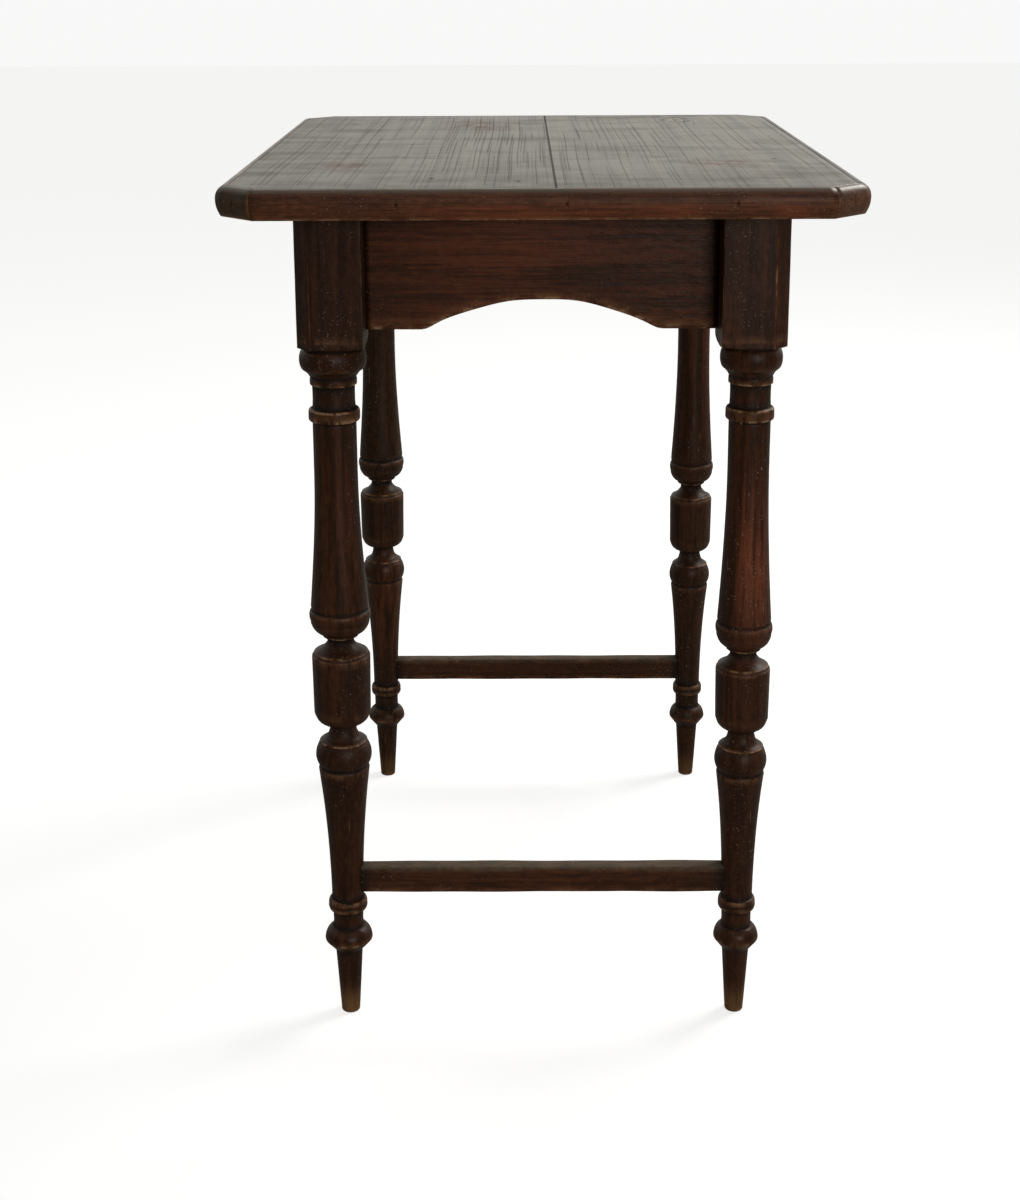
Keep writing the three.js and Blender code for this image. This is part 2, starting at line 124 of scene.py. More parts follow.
# Boards: where the grain bends round a knot, old holes, patches rubbed to a red brown with
# their spreads, and open cracks as ranges of (from, to, how many, widest half width)
KNOT = (149, 262)
OLD_HOLES = [(-88, -257), (-19, -277), (203, -120)]
RUBBED = [(-162, -161, 26, 30), (150, -153, 34, 26), (-60, 210, 30, 60)]
CRACKS = {
    "left": [(-236, -95, 14, 0.13), (-92, 8, 30, 0.2)],
    "right": [(14, 120, 16, 0.14), (120, 240, 12, 0.12)],
}
BOARD_COLUMN = 6
BOARD_ROWS = 150

# Woods, in linear colour: each stained one runs from dark to mid
LEG_TINTS = {
    "front_left": {"dark": (0.022, 0.0082, 0.0033), "mid": (0.054, 0.0195, 0.0077)},
    "front_right": {"dark": (0.024, 0.0086, 0.0035), "mid": (0.060, 0.0205, 0.0081)},
    "rear_left": {"dark": (0.021, 0.0090, 0.0036), "mid": (0.055, 0.0230, 0.0090)},
    "rear_right": {"dark": (0.022, 0.0088, 0.0034), "mid": (0.055, 0.0205, 0.0083)},
}
APRON_TINT = {"dark": (0.034, 0.0115, 0.0046), "mid": (0.078, 0.0235, 0.0092)}
STRETCHER_TINT = {"dark": (0.036, 0.0130, 0.0054), "mid": (0.076, 0.0265, 0.0110)}
LIPPING_TINT = {"dark": (0.066, 0.0235, 0.0110), "mid": (0.140, 0.0480, 0.0225)}
# the clipped front corners are lit and shaded copies of the lipping's tint: the left one darker, as
# painted shade, the right one lighter, as painted light
LIT_AND_SHADED_CORNER_TINTS = {
    "front_left_corner": {"dark": (0.040, 0.0210, 0.0100), "mid": (0.080, 0.0400, 0.0180)},
    "front_right_corner": {"dark": (0.080, 0.0350, 0.0170), "mid": (0.150, 0.0660, 0.0320)},
}
BARE_WOOD = (0.34, 0.22, 0.125)
RUBBED_WOOD = (0.19, 0.085, 0.038)
REDDISH_WOOD = (0.175, 0.048, 0.021)
GOLDEN_WOOD = (0.20, 0.105, 0.042)
FADED_WOOD = (0.085, 0.063, 0.042)
BOARD_DARK = (0.075, 0.056, 0.037)
BOARD_PALE = (0.135, 0.108, 0.074)
BOARD_SOIL = (0.045, 0.029, 0.018)
BOARD_RUBBED = (0.115, 0.050, 0.030)
RAW_DARK = (0.17, 0.095, 0.048)
RAW_PALE = (0.33, 0.215, 0.125)
RAW_STAIN = (0.1, 0.06, 0.035)
DUST = (0.085, 0.072, 0.052)
OLD_PAINT = (0.45, 0.39, 0.3)
PORES = (0.010, 0.006, 0.004)
# near black: dirt, and painted shade in the legs' hollows, at the rails' joints and under the top
GRIME_AND_SHADE = (0.006, 0.0045, 0.0035)

# Metals: bright, its oxide, and how fine the oxide's patches are
NAIL_IRON = {"bright": (0.12, 0.1, 0.085), "oxide": (0.035, 0.02, 0.013), "patch": 900}
SCREW_STEEL = {"bright": (0.42, 0.39, 0.35), "oxide": (0.13, 0.085, 0.06), "patch": 500}

# How far the edges of the kept CAD pieces are eased
BLOCK_BEVEL = 0.8
SCREW_BEVEL = 0.2

# Stage: what the camera sees of it, and what light the table gets from it
FLOOR_SEEN = (0.5, 0.5, 0.497)
FLOOR_FELT = (0.3, 0.29, 0.275)
FLOOR_GLOW = (0.66, 0.66, 0.657)
FLOOR_REACH = 14
ROOM_SEEN = (0.94, 0.94, 0.936)
ROOM_FRONT = (0.10, 0.097, 0.092)
ROOM_BACK = (0.95, 0.97, 0.92)
ROOM_ABOVE = (0.5, 0.5, 0.49)

# Lights and camera, in metres, watts and degrees
KEY_LIGHT = {
    "place": (1.7, 1.0, 2.1),
    "aim": (0, 0, 0.5),
    "size": (1.1, 1.1),
    "power": 46,
    "colour": (1, 0.97, 0.93),
}
FILL_LIGHT = {
    "place": (0.9, -3.0, 1.1),
    "aim": (0, 0, 0.45),
    "size": (0.9, 0.8),
    "power": 28,
    "colour": (1, 0.96, 0.9),
}
CAMERA_PLACE = (-0.019, -1.737, 0.92)
CAMERA_LENS = 55.8
CAMERA_SHIFT = -0.15
CAMERA_TILT = 14.15
CAMERA_ROLL = 0.26
CAMERA_TURN = 0.22


# ---------------------------------------------------------------- mesh making


def ripple(points, length, seed):
    """A smooth, irregular value of about -1 to 1 at each point, varying over about length mm."""
    rng = np.random.default_rng(seed)
    waves = rng.normal(size=(9, 3)) * (2 * math.pi / length)
    phases = rng.uniform(0, 2 * math.pi, 9)
    return np.sin(points @ waves.T + phases).mean(axis=-1) * 1.8


def smoothstep(value, low, high):
    """0 below low, 1 above high, and an even curve between them."""
    t = np.clip((value - low) / (high - low), 0, 1)
    return t * t * (3 - 2 * t)


def lofted(name, rings, marks):
    """A closed mesh through rings of points in millimetres, with a flat cap at each end.
    marks are the per-point values, from 0 to 1, that the materials read."""
    stations, count, _ = rings.shape
    corner = np.arange(stations * count).reshape(stations, count)
    here, above = corner[:-1], corner[1:]
    quads = np.stack([here, np.roll(here, -1, 1), np.roll(above, -1, 1), above], -1).reshape(-1, 4)
    faces = quads.tolist() + [corner[0][::-1].tolist(), corner[-1].tolist()]
    mesh = bpy.data.meshes.new(name)
    mesh.from_pydata((rings.reshape(-1, 3) * MM).tolist(), [], faces)
    for mark, values in marks.items():
        made = mesh.attributes.new(mark, "FLOAT", "POINT")
        made.data.foreach_set("value", values.astype(np.float32).ravel())
    mesh.polygons.foreach_set("use_smooth", [True] * (len(faces) - 2) + [False] * 2)
    mesh.validate()
    shown = bpy.data.objects.new(name, mesh)
    bpy.context.scene.collection.objects.link(shown)
    return shown


def turn_outwards(shown):
    """Makes the mesh's faces look outwards, whichever way its rings ran."""
    mesh = shown.data
    mesh.calc_loop_triangles()
    points = np.array([v.co for v in mesh.vertices])
    corners = np.array([t.vertices for t in mesh.loop_triangles])
    a, b, c = (points[corners[:, i]] for i in range(3))
    if np.einsum("ij,ij->i", a, np.cross(b, c)).sum() < 0:
        mesh.flip_normals()


def place(shown, node, slot, material):
    """Puts a finished piece on the frame in place of one CAD node."""
    turn_outwards(shown)
    shown.data.materials.append(material)
    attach(shown, "root")
    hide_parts(node)


def box_mm(node):
    """A CAD node's lowest and highest corners, in millimetres."""
    low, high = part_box(node)
    return np.array(low) / MM, np.array(high) / MM


class Pen:
    """Draws an outline as points a fixed step apart."""

    STEP = 0.4

    def __init__(self, x, y):
        self.points = [np.array([x, y], float)]

    def follow(self, *controls):
        """A Bezier curve from the pen through these control points; one alone is a line."""
        start = self.points[-1]
        nodes = np.array([start, *controls], float)
        length = np.linalg.norm(np.diff(nodes, axis=0), axis=1).sum()
        degree = len(controls)
        for t in np.linspace(0, 1, max(2, round(length / self.STEP) + 1))[1:]:
            weights = [math.comb(degree, k) * t**k * (1 - t) ** (degree - k) for k in range(degree + 1)]
            self.points.append(np.array(weights) @ nodes)


def softened(values, reach):
    """values smoothed along their length, over about reach samples either way."""
    offsets = np.arange(-3 * reach, 3 * reach + 1)
    kernel = np.exp(-0.5 * (offsets / reach) ** 2)
    padded = np.pad(values, [(3 * reach, 3 * reach)] + [(0, 0)] * (values.ndim - 1), mode="edge")

    def blurred(column):
        return np.convolve(column, kernel / kernel.sum(), mode="valid")

    return np.apply_along_axis(blurred, 0, padded)


# ---------------------------------------------------------------- legs


def leg_outline(waist, drum):
    """The turning's outline as radius and height, from the tip of the foot to the leg's top."""
    pen = Pen(7.3, 0)
    pen.follow((8.1, 0.8))
    pen.follow((11.8, 61))
    # bulb: a cone, a sharp rim, a round shoulder
    pen.follow((20, 71))
    pen.follow((20.3, 72.4))
    pen.follow((19.6, 81.5), (13.2, 84.2))
    pen.follow((12.6, 91), (13.3, 99.6))
    # ankle ring, with a scribed line round it
    pen.follow((16.7, 99.8), (16.7, 104.8))
    pen.follow((15.8, 105.6))
    pen.follow((16.6, 106.4))
    pen.follow((16.6, 111.2), (13.7, 111.6))
    # taper and lower bead
    pen.follow((13.8, 145), (15.8, 190), (21.3, 235.6 - drum))
    pen.follow((20.1, 237.2 - drum))
    pen.follow((20.6, 238.8 - drum))
    pen.follow((25.9, 247.5 - drum), (20.6, 258.2 - drum))
    pen.follow((19.7, 259 - drum))
    pen.follow((20.1, 260.6 - drum))
    pen.follow((17.4, 262.4 - drum))
    pen.follow((12.6, 264 - drum), (11.3, 272.4 - drum))
    # drum, between two coves
    pen.follow((11.3, 276.2 - drum))
    pen.follow((19.5, 277.2 - drum), (21.9, 283 - drum))
    pen.follow((23.4, 287 - drum))
    pen.follow((24, 338 - waist))
    pen.follow((23.7, 339.4 - waist))
    pen.follow((22.7, 340 - waist))
    pen.follow((22.4, 342 - waist))
    pen.follow((15.5, 344.2 - waist), (11.3, 351 - waist))
    # small collar, cup and waist bead
    pen.follow((11.4, 355 - waist))
    pen.follow((15, 356.4 - waist))
    pen.follow((15.2, 358.8 - waist))
    pen.follow((22, 360.6 - waist), (24.1, 369 - waist))
    pen.follow((23.8, 370 - waist))
    pen.follow((25.8, 374.4 - waist), (24.5, 379 - waist))
    pen.follow((23, 380.4 - waist))
    pen.follow((23.6, 383.8 - waist))
    # column and its collar ring
    pen.follow((21.3, 415 - waist), (17.7, 455), (17.7, 505))
    pen.follow((17.7, 543.4))
    pen.follow((17, 544.2))
    pen.follow((18, 544.8))
    pen.follow((20.7, 545), (20.7, 547.6))
    pen.follow((20.6, 553))
    pen.follow((20.6, 555.8), (17.4, 556))
    # neck, fillet and the bead under the block
    pen.follow((16.9, 565), (17.2, 575.2))
    pen.follow((18.9, 576))
    pen.follow((18.9, 580.8))
    pen.follow((18.3, 581.6))
    pen.follow((20.5, 586.5), (24, 588.6))
    pen.follow((27.8, 591.5), (27.4, 603.6), (23.6, 606.2))
    pen.follow((23.4, 607.8))
    # the block's turned underside and its full height
    pen.follow((26.5, BLOCK_BOTTOM + 0.3))
    pen.follow((39, BLOCK_BOTTOM + 0.6), (41.5, BLOCK_BOTTOM + 7))
    pen.follow((41.5, LEG_TOP))
    return np.array(pen.points)


def sparse(points, corner=0.12, stride=6.0):
    """The numbers of the points worth keeping: one at each change of direction, and one at
    least every stride mm."""
    steps = np.diff(points, axis=0)
    headings = np.unwrap(np.arctan2(steps[:, 1], steps[:, 0]))
    kept, turned, walked = [0], 0.0, 0.0
    for i in range(1, len(points) - 1):
        turned += abs(headings[i] - headings[i - 1])
        walked += np.linalg.norm(steps[i - 1])
        if turned > corner or walked > stride:
            kept.append(i)
            turned = walked = 0.0
    return np.array(kept + [len(points) - 1])


def edge_marks(outline):
    """How worn and how dark each point of an outline is: worn where it juts, dark where it turns in,
    with dirt and painted shade."""
    steps = np.diff(outline, axis=0, prepend=2 * outline[:1] - outline[1:2])
    headings = np.unwrap(np.arctan2(steps[:, 1], steps[:, 0]))
    turning = softened(np.gradient(headings), 3)
    jut = turning * 12
    return np.clip((jut - 0.3) / 0.8, 0, 1), np.clip((-jut - 0.35) / 1.0, 0, 1)


def block_sides(angles, clip_angle, half):
    """The distance from the axis to each side of the block, its clipped arris among them."""
    sides = [(quarter * math.pi / 2, half) for quarter in range(4)]
    sides.append((clip_angle, (2 * half - BLOCK_CLIP) / math.sqrt(2)))
    return [distance / np.maximum(np.cos(angles - turn), 0.05) for turn, distance in sides]


def eased(distances, sharpness):
    """The smallest of several distances, with the corners between them rounded."""
    small = np.minimum.reduce(distances)
    return small * sum((small / each) ** sharpness for each in distances) ** (-1 / sharpness)


def leg_angles(clip_angle):
    """Angles round a leg, closer together at the arrises of its block."""
    corners = clip_angle + np.radians([-15.6, 15.6, 90, 180, 270])
    close = np.radians([-6, -3, -1.6, -0.7, 0, 0.7, 1.6, 3, 6])
    even = np.radians(np.arange(0, 360, 5))
    near = (corners[:, None] + close).ravel()
    angles = np.sort(np.round(np.concatenate([even, near]) % (2 * math.pi), 3))
    return angles[np.diff(angles, prepend=-1) > 0.004]


def swollen(outline, swell):
    """The outline with its mouldings drawn in or out; the block keeps its size."""
    proud = np.maximum(outline[:, 0] - CORE_RADIUS, 0)
    outline[:, 0] += proud * (swell - 1) * (outline[:, 1] < BLOCK_BOTTOM)
    return outline


def front_rub_and_highlight(around, tall, height):
    """How red a leg is: most on its front, a little to the right, at one height; rubbed, and partly a
    painted highlight.
    """
    facing = np.cos(around + math.pi / 2 - 0.25)
    return smoothstep(facing, 0.5, 1.0) * np.exp(-(((tall - height) / RUB_AND_HIGHLIGHT_SPREAD) ** 2))


def turned_leg(name, facts, seed):
    """One leg: rings round its axis, from the foot up, that turn square at the block."""
    low, high = box_mm("leg_" + name)
    axis = (low + high) / 2
    half = (high[0] - low[0]) / 2
    clip_angle = math.atan2(math.copysign(1, axis[1]), math.copysign(1, axis[0]))
    outline = softened(swollen(leg_outline(facts["waist"], facts["drum"]), facts["swell"]), 1)
    worn, hollow_grime_and_shade = edge_marks(outline)
    keep = sparse(outline)
    radius, height = outline[keep].T
    angles = leg_angles(clip_angle)
    cap = np.repeat(radius[:, None], len(angles), 1)
    tall = np.repeat(height[:, None], len(angles), 1)
    around = np.broadcast_to(angles, cap.shape)
    where = np.stack([np.cos(around) * cap, np.sin(around) * cap, tall], -1)
    cap *= 1 + 0.006 * np.cos(2 * around + seed) + 0.003 * ripple(where, 40, seed)
    sharpness = 62 + 22 * ripple(where, 60, seed + 1)
    sides = [cap, *block_sides(around, clip_angle, half)]
    joined = eased(sides, sharpness)
    turned = tall < BLOCK_BOTTOM
    reach = np.where(turned, cap, joined - 0.12 * np.abs(ripple(where, 90, seed + 2)))
    rings = np.stack(
        [axis[0] + reach * np.cos(around), axis[1] + reach * np.sin(around), tall], -1
    )
    arris = np.where(turned, 0, smoothstep(np.minimum.reduce(sides) - joined, 0.1, 0.5))
    marks = {
        "wear": np.maximum(arris, worn[keep][:, None]),
        # dirt, and painted shade, in the hollows of the turning
        "grime_and_shade": np.repeat(hollow_grime_and_shade[keep][:, None], len(angles), 1),
        # reddish on the front: rubbed red, and partly a painted highlight where the light falls
        "rub": facts["rub"] * front_rub_and_highlight(around, tall, facts["rub_and_highlight_at"]),
        "tip": facts["pale_foot"] * smoothstep(-tall, -PALE_FOOT_HEIGHT, -6),
    }
    material = stained_wood("leg_wood_" + name, "z", seed, LEG_TINTS[name])
    place(lofted("turned_leg_" + name, rings, marks), "leg_" + name, "stained_wood", material)


# ---------------------------------------------------------------- aprons and stretchers


def rounded_section(width, low, high, radius, rows, steps):
    """A ring of points round an upright rectangle with rounded arrises, as across and height."""
    half = width / 2
    ring = []
    for quarter, (x, z) in enumerate([(half, high), (-half, high), (-half, low), (half, low)]):
        centre_x = x - math.copysign(radius, x)
        centre_z = z - (radius if z == high else -radius)
        for turn in np.linspace(0, math.pi / 2, steps) + quarter * math.pi / 2:
            ring.append((centre_x + radius * math.cos(turn), centre_z + radius * math.sin(turn)))
        if quarter == 1:
            ring += [(-half, z) for z in np.linspace(high - radius, low + radius, rows)[1:-1]]
    ring += [(half, z) for z in np.linspace(low + radius, high - radius, rows)[1:-1]]
    return np.array(ring)


def section_marks(steps, rows):
    """Which points of a rounded section are on an arris."""
    arris = [1.0] * steps
    return np.array(arris + arris + [0] * (rows - 2) + arris + arris + [0] * (rows - 2))


def arch_height(distance, half):
    """How far the apron's lower edge rises at a distance from its middle."""
    reach = half - ARCH_SHOULDER
    arch = reach - ARCH_EASE / 2
    radius = (arch**2 + ARCH_RISE**2) / (2 * ARCH_RISE)
    inner = reach - ARCH_EASE
    away = np.abs(distance)
    circle = np.sqrt(np.maximum(radius**2 - away**2, 0)) - (radius - ARCH_RISE)
    start = math.sqrt(radius**2 - inner**2) - (radius - ARCH_RISE)
    ease = start * np.clip((reach - away) / ARCH_EASE, 0, 1) ** 2
    return np.where(away < inner, circle, ease)


def rail(half, section, seed, along_x):
    """Rings along a rail. section(distance) gives each one's ring, as across and height."""
    rings = []
    for station in np.linspace(-half, half, round(2 * half / RAIL_STEP)):
        ring = section(station)
        along = np.full(len(ring), station)
        rings.append(np.stack([along, ring[:, 0], ring[:, 1]], -1))
    rings = np.array(rings)
    wobble = ripple(rings, 70, seed)
    middle = rings[:, :, 1].mean(axis=1, keepdims=True)
    rings[:, :, 1] -= 0.12 * np.sign(rings[:, :, 1] - middle) * np.abs(wobble)
    if not along_x:
        rings = rings[:, :, [1, 0, 2]]
    return rings


def apron(node, seed):
    """An apron between two leg blocks, its arch cut by hand and its arrises worn."""
    low, high = box_mm(node)
    along_x = "end" in node
    long, across = (0, 1) if along_x else (1, 0)
    half = abs(box_mm("leg_front_left")[1][long]) - JOINT_GAP
    thickness = high[across] - low[across]
    middle = (high[across] + low[across]) / 2
    rows, steps = 11, 4

    def section(distance):
        radius = 1.3 + 0.5 * math.sin(distance / 31 + seed) * math.sin(distance / 12)
        hand_cut = 0.35 * math.sin(distance / 9 + seed) + 0.25 * math.sin(distance / 21)
        lift = arch_height(distance, half)
        floor = low[2] + lift + hand_cut * min(1, lift / 6)
        ring = rounded_section(thickness, floor, high[2], radius, rows, steps)
        ring[:, 0] += middle
        return ring

    rings = rail(half, section, seed, along_x)
    arris = np.broadcast_to(section_marks(steps, rows), rings.shape[:2])
    # the ends, where the apron meets the leg blocks, and a band under the top are darkened: painted
    # shade at the joints and a painted shadow under the top
    shaded_ends = smoothstep(np.abs(rings[:, :, long]), half - 5, half)
    shadow_under_top = smoothstep(rings[:, :, 2], high[2] - 16, high[2])
    marks = {
        "wear": arris * (1 - shaded_ends),
        "grime_and_shade": np.maximum(shaded_ends, shadow_under_top) * 0.8,
        "rub": 0.45 * np.exp(-(((rings[:, :, long] + 25) / 75) ** 2)),
    }
    axis = "x" if along_x else "y"
    material = stained_wood(node + "_wood", axis, seed, APRON_TINT)
    place(lofted("shaped_" + node, rings, marks), node, "stained_wood", material)


def stretcher(node, seed):
    """A plain rail between the legs of one end, with dust on its top."""
    low, high = box_mm(node)
    rows, steps = 6, 4
    middle = (high[1] + low[1]) / 2
    leg_low, leg_high = box_mm("leg_front_right")
    reach = (leg_low[0] + leg_high[0]) / 2 - STRETCHER_TENON

    def section(distance):
        radius = 1.6 + 0.8 * math.sin(distance / 43 + seed) * math.sin(distance / 17 + 1)
        ring = rounded_section(high[1] - low[1], low[2], high[2], radius, rows, steps)
        ring[:, 0] += middle
        return ring

    rings = rail(reach, section, seed, True)
    arris = np.broadcast_to(section_marks(steps, rows), rings.shape[:2])
    # darker towards the legs: painted shade where the rail meets them
    near_leg_shade = smoothstep(np.abs(rings[:, :, 0]), reach - 16, reach - 5)
    marks = {
        "wear": 0.75 * arris * (1 - near_leg_shade),
        "grime_and_shade": near_leg_shade,
        "dust": smoothstep(rings[:, :, 2], high[2] - 2.4, high[2] - 0.8),
    }
    material = stained_wood(node + "_wood", "x", seed, STRETCHER_TINT)
    place(lofted("scribed_" + node, rings, marks), node, "stained_wood", material)


# ---------------------------------------------------------------- top


def top_outline(inset):
    """The top's eight corners in plan, anticlockwise from the front, drawn in by an inset."""
    x, y = HALF_WIDTH - inset, HALF_LENGTH - inset
    clip = CORNER_CLIP - inset * (2 - math.sqrt(2))
    return np.array(
        [
            (-x + clip, -y),
            (x - clip, -y),
            (x, -y + clip),
            (x, y - clip),
            (x - clip, y),
            (-x + clip, y),
            (-x, y - clip),
            (-x, -y + clip),
        ]
    )


def lipping_section(low, high):
    """The strip's section as a ring of inset and height, from its inner top edge outwards."""
    nose = high - EDGE_DROP
    pen = Pen(LIPPING_WIDTH, high - 0.4)
    pen.follow((LIPPING_WIDTH - 0.4, high))
    pen.follow((EDGE_RUN, high))
    pen.follow((EDGE_RUN * 0.45, high), (0, high - EDGE_DROP * 0.45), (0, nose))
    pen.follow((0, nose - 7), (EDGE_UNDERCUT * 0.5, low + 4), (EDGE_UNDERCUT * 0.8, low + 1.2))
    pen.follow((EDGE_UNDERCUT, low), (EDGE_UNDERCUT + 1.3, low))
    pen.follow((LIPPING_WIDTH, low))
    outline = softened(np.array(pen.points), 1)
    return outline[sparse(outline, 0.14, 2.0)]


def nail_places(edge):
    """Where the CAD nails of one edge come out, as distances along it in millimetres."""
    start, end = top_outline(0)[[edge, (edge + 1) % 8]]
    along = (end - start) / np.linalg.norm(end - start)
    places = []
    for node in sorted(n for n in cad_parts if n.startswith(f"nail_{EDGES[edge]}_")):
        low, high = box_mm(node)
        places.append(float(((low + high)[:2] / 2 - start) @ along))
    return places


def lipping_shares(length, nails):
    """Where the strip's rings are, from 0 to 1 along it: evenly, and close at each nail."""
    shares = set(np.linspace(0, 1, max(4, round(length / LIPPING_STEP))).tolist())
    for nail in nails:
        offsets = (-3, -2, -1.3, -0.8, -0.4, 0, 0.4, 0.8, 1.3, 2, 3)
        shares |= {(nail + offset) / length for offset in offsets}
    return np.array(sorted(shares))


def lipping_marks(node, section, shares, length):
    """The strip's wear, rub and fading, and the dark band above its nose."""
    inset, height = section.T
    worn_foot = smoothstep(-height, -height.min() - 3.2, -height.min() - 0.5)
    worn_foot = worn_foot * (inset < LIPPING_WIDTH * 0.55)
    end_arris = smoothstep(np.abs(shares - 0.5) * length, length / 2 - 2.0, length / 2)
    wear = np.maximum(worn_foot, 0.7 * end_arris[:, None] * (inset < EDGE_RUN))
    # darkens a band along the upper rounding, above the nose
    band = np.exp(-(((height - TABLE_HEIGHT + 5.5) / 2.2) ** 2)) * (inset < EDGE_RUN)
    below_nose = smoothstep(-height, -TABLE_HEIGHT + EDGE_DROP, -TABLE_HEIGHT + EDGE_DROP + 6)
    rub = np.zeros(len(shares))
    if node == "lipping_front_end":
        for centre, width in REDDENED:
            distance = (shares - 0.5) * length - centre
            rub = np.maximum(rub, np.exp(-((distance / width) ** 2)))
    faded = smoothstep(height, TABLE_HEIGHT - 4.5, TABLE_HEIGHT - 0.6)
    return {"wear": wear, "grime_and_shade": 0.45 * band, "faded": faded, "rub": rub[:, None] * below_nose}


def lipping(edge, seed):
    """One strip of the lipping, mitred at both ends, with a punched hole over each nail."""
    node = "lipping_" + EDGES[edge]
    section = lipping_section(box_mm(node)[0][2], TABLE_HEIGHT)
    corners = [top_outline(inset) for inset, _ in section]
    starts = np.array([ring[edge] for ring in corners])
    ends = np.array([ring[(edge + 1) % 8] for ring in corners])
    along = (ends[0] - starts[0]) / np.linalg.norm(ends[0] - starts[0])
    inward = np.array([-along[1], along[0]])
    starts = starts + along * JOINT_GAP / 2
    ends = ends - along * JOINT_GAP / 2
    outer = top_outline(0)
    length = np.linalg.norm(outer[(edge + 1) % 8] - outer[edge])
    nails = nail_places(edge)
    shares = lipping_shares(length, nails)
    plan = starts + shares[:, None, None] * (ends - starts)
    heights = np.broadcast_to(section[:, 1], plan.shape[:2])
    rings = np.concatenate([plan, heights[:, :, None]], -1)
    visible = (section[:, 0] < LIPPING_WIDTH - 0.5) & (section[:, 1] > section[:, 1].min() + 0.3)
    dip = 0.1 * (1 + ripple(rings, 55, seed)) * visible
    holes = np.zeros(plan.shape[:2])
    for nail in nails:
        distance = (rings[:, :, :2] - outer[edge]) @ along - nail
        away = np.hypot(distance, heights - TABLE_HEIGHT + NAIL_DEPTH_BELOW_TOP)
        pit = smoothstep(-away, -1.5, -0.8) * visible
        dip = dip + NAIL_SINK * pit
        holes = np.maximum(holes, pit)
    rings[:, :, :2] += dip[:, :, None] * inward
    marks = lipping_marks(node, section, shares, length)
    marks["wear"] = marks["wear"] * visible * (1 - marks["faded"])
    marks["grime_and_shade"] = np.maximum(holes, marks["grime_and_shade"])
    marks["faded"] = np.broadcast_to(marks["faded"] * visible, plan.shape[:2])
    axis = {0: "x", 2: "y"}.get(edge % 4, "xy")
    # the two front corner strips take their lit or shaded copy of the lipping's tint
    tint = LIT_AND_SHADED_CORNER_TINTS.get(EDGES[edge], LIPPING_TINT)
    material = stained_wood(node + "_wood", axis, seed, tint)
    place(lofted("moulded_" + node, rings, marks), node, "edge_wood", material)


def driven_nail(node, material):
    """A round wire nail, pointed at its inner end, its crown a little rounded by the punch."""
    low, high = box_mm(node)
    centre, size = (low + high) / 2, high - low
    direction = np.array([math.copysign(1, centre[0]), math.copysign(1, centre[1]), 0])
    if size[0] > 2 * size[1]:
        direction[1] = 0
    elif size[1] > 2 * size[0]:
        direction[0] = 0
    slanted = direction[0] * direction[1] != 0
    direction = direction / np.linalg.norm(direction)
    length = float(np.abs(direction[:2]) @ size[:2]) - (1.1 if slanted else 0)
    sideways = np.array([-direction[1], direction[0], 0])
    tip, crown = -length / 2, length / 2
    outline = [(0.25, tip), (NAIL_RADIUS, tip + 3), (NAIL_RADIUS, crown - 0.6)]
    outline += [(0.7, crown - 0.2), (0.45, crown - 0.05), (0.15, crown)]
    turns = np.linspace(0, 2 * math.pi, 12, endpoint=False)
    rings = []
    for radius, along in outline:
        around = np.outer(np.cos(turns), sideways) + np.outer(np.sin(turns), [0, 0, 1])
        rings.append(centre + along * direction + radius * around)
    place(lofted("driven_" + node, np.array(rings), {}), node, "nail_iron", material)


def board_cracks(seed, low, high, ranges):
    """Open checks along the grain, as (across, start, end, half width, depth)."""
    rng = np.random.default_rng(seed)
    cracks = []
    for left, right, number, widest in ranges:
        share = (right - left) / number
        starts = np.linspace(left, right, number + 1)[:-1]
        for x in starts + rng.uniform(0.15, 0.85, number) * share:
            length = rng.uniform(0.12, 0.75) * (high - low)
            start = rng.uniform(low - 0.15 * length, high - 0.75 * length)
            width = widest * rng.uniform(0.45, 1)
            cracks.append((x, start, start + length, width, width * rng.uniform(1.2, 2.2)))
    return cracks


def grain_drift(x, y):
    """How far the grain at a place strays across the board from a straight line."""
    bend = 1.6 * np.sin(y * 0.0051 + x * 0.004 + 0.8) + 0.6 * np.sin(y * 0.017 + x * 0.02)
    near = np.exp(-((x - KNOT[0]) ** 2 / 320 + (y - KNOT[1]) ** 2 / 1400))
    return bend + 7 * near * np.tanh((x - KNOT[0]) / 8)


def board_columns(low, high, cracks):
    """Where the mesh's lines run along a board: evenly, and close together at each crack."""
    columns = set(np.arange(low + 1.2, high - 1.1, BOARD_COLUMN).tolist())
    columns |= {low + 0.5, high - 0.5}
    for x, _, _, width, _ in cracks:
        columns |= {x - 1.0, x - width, x - 0.3 * width, x + 0.3 * width, x + width, x + 1.0}
    columns = np.array(sorted(c for c in columns if low + 0.4 < c < high - 0.4))
    return columns[np.diff(columns, prepend=-1e3) > 0.04]


def board_rows(low, high, clip_start):
    """Where the mesh's lines run across a board, two of them where its corners are clipped."""
    rows = np.linspace(low + 0.5, high - 0.5, BOARD_ROWS)
    return np.unique(np.concatenate([rows, [clip_start, -clip_start, low, high]]).round(3))


def dark_spots(x, y):
    """The knot's rings and the old holes, from 0 to 1."""
    from_knot = np.hypot((x - KNOT[0]) / 20, (y - KNOT[1]) / 38)
    dark = 0.75 * np.exp(-(from_knot**2)) * np.maximum(np.cos(9 * from_knot), 0) ** 2
    for hole_x, hole_y in OLD_HOLES:
        dark = np.maximum(dark, np.exp(-(((x - hole_x) / 1.6) ** 2) - ((y - hole_y) / 2.6) ** 2))
    return dark


